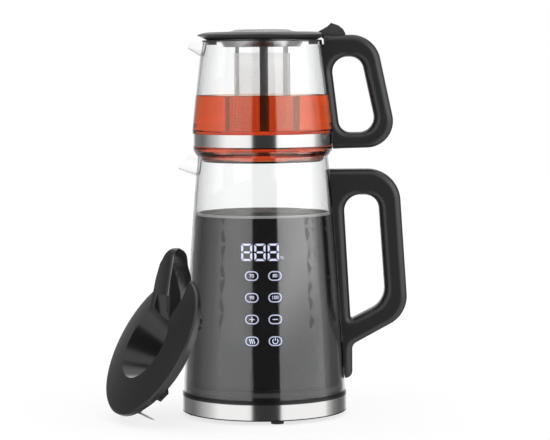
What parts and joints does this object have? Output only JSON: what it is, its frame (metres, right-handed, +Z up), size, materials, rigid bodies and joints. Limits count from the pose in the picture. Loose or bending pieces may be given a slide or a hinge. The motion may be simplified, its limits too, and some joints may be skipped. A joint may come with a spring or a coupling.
{
  "type": "tea maker",
  "caption": "Glass kettle on a round power base with a glass teapot in its mouth, touch panel, loop handles, lift-out infuser, hinged teapot lid and a loose kettle lid.",
  "frame": {"origin": "centre of the rubber ring under the power base, on the surface the base stands on", "axes": "+Z up along the common axis of base, kettle and teapot; +X towards both handles, -X towards both spouts, -Y towards the touch panel"},
  "size_m": [0.2852, 0.19, 0.3692],
  "materials": {
    "base_black": "satin black polypropylene",
    "rubber": "black rubber",
    "silicone": "dark silicone",
    "brushed_steel": "brushed stainless steel, brushed round the band",
    "pot_steel": "drawn stainless steel",
    "steel_mesh": "etched stainless mesh",
    "screw_steel": "plated steel",
    "copper": "copper alloy contacts",
    "wire_cover": "insulated lead",
    "kettle_glass": "clear borosilicate glass",
    "teapot_glass": "clear borosilicate glass",
    "cap_glass": "clear glass dome",
    "gloss_black": "gloss black behind glass",
    "smoked_window": "smoked window",
    "light_marks": "lit marks",
    "aluminium": "cast aluminium",
    "circuit_board": "green circuit board",
    "display_body": "black display body",
    "holder_plastic": "heat resistant holder",
    "handle_black": "satin black, fine moulded grain",
    "lid_black": "satin black, glossier in the recess",
    "teapot_lid_black": "satin black"
  },
  "bodies": {
    "power_base": {"base_bottom_cover": "base_black", "base_feet": "rubber", "base_anti_slip_ring": "rubber", "base_screws": "screw_steel", "base_steel_band": "brushed_steel", "base_housing": "base_black", "base_socket": "base_black", "base_contacts": "copper", "base_wires": "wire_cover", "cord_gland": "base_black"},
    "kettle_coupler": {"kettle_coupler": "base_black", "coupler_contacts": "copper"},
    "kettle": {"kettle_glass": "kettle_glass", "kettle_bottom_cover": "base_black", "kettle_bottom_seal": "silicone", "kettle_bottom_screws": "screw_steel", "black_sleeve": "gloss_black", "display_window": "smoked_window", "button_rings": "light_marks", "inner_pot": "pot_steel", "pot_gasket": "silicone", "heating_plate": "aluminium", "heater_tube": "pot_steel", "thermal_cutouts": "pot_steel", "temperature_probe": "pot_steel", "board_holder": "holder_plastic", "touch_board": "circuit_board", "display_module": "display_body", "touch_springs": "copper", "power_board": "circuit_board", "signal_ribbon": "wire_cover", "kettle_handle": "handle_black", "kettle_handle_cover": "handle_black", "kettle_handle_screws": "screw_steel", "kettle_handle_pads": "silicone"},
    "teapot": {"teapot_glass": "teapot_glass", "teapot_band": "brushed_steel", "teapot_band_screw": "screw_steel", "teapot_handle": "handle_black", "teapot_handle_cover": "handle_black", "teapot_handle_pad": "silicone", "hinge_pin": "screw_steel", "infuser_holder": "teapot_lid_black"},
    "teapot_lid": {"teapot_lid_ring": "teapot_lid_black"},
    "infuser": {"infuser_cup": "pot_steel", "infuser_mesh": "steel_mesh", "infuser_base": "pot_steel"},
    "tea_cap": {"tea_cap_rim": "teapot_lid_black", "tea_cap_glass": "cap_glass"},
    "kettle_lid": {"lid_cover": "lid_black", "lid_plug": "lid_black", "lid_seal": "silicone", "lid_filter_frame": "lid_black", "lid_filter_mesh": "steel_mesh", "lid_strainer": "steel_mesh", "lid_screws": "screw_steel"}
  },
  "joints": [
    {"name": "kettle_lift", "type": "slide", "parent": "power_base", "child": "kettle_coupler", "axis": [0, 0, 1], "range_m": [0, 0.03]},
    {"name": "kettle_turn", "type": "hinge", "parent": "kettle_coupler", "child": "kettle", "pos_m": [0, 0, 0.021], "axis": [0, 0, 1], "range_deg": [-90, 135]},
    {"name": "teapot_lift", "type": "slide", "parent": "kettle", "child": "teapot", "axis": [0, 0, 1], "range_m": [0, 0.08]},
    {"name": "teapot_lid_hinge", "type": "hinge", "parent": "teapot", "child": "teapot_lid", "pos_m": [0.0611, 0, 0.3543], "axis": [0, 1, 0], "range_deg": [0, 60]},
    {"name": "infuser_lift", "type": "slide", "parent": "teapot", "child": "infuser", "axis": [0, 0, 1], "range_m": [0, 0.2]},
    {"name": "cap_lift", "type": "slide", "parent": "infuser", "child": "tea_cap", "axis": [0, 0, 1], "range_m": [0, 0.05]},
    {"name": "kettle_lid_away", "type": "slide", "parent": "power_base", "child": "kettle_lid", "axis": [-0.866, -0.5, 0], "range_m": [0, 0.12]}
  ]
}
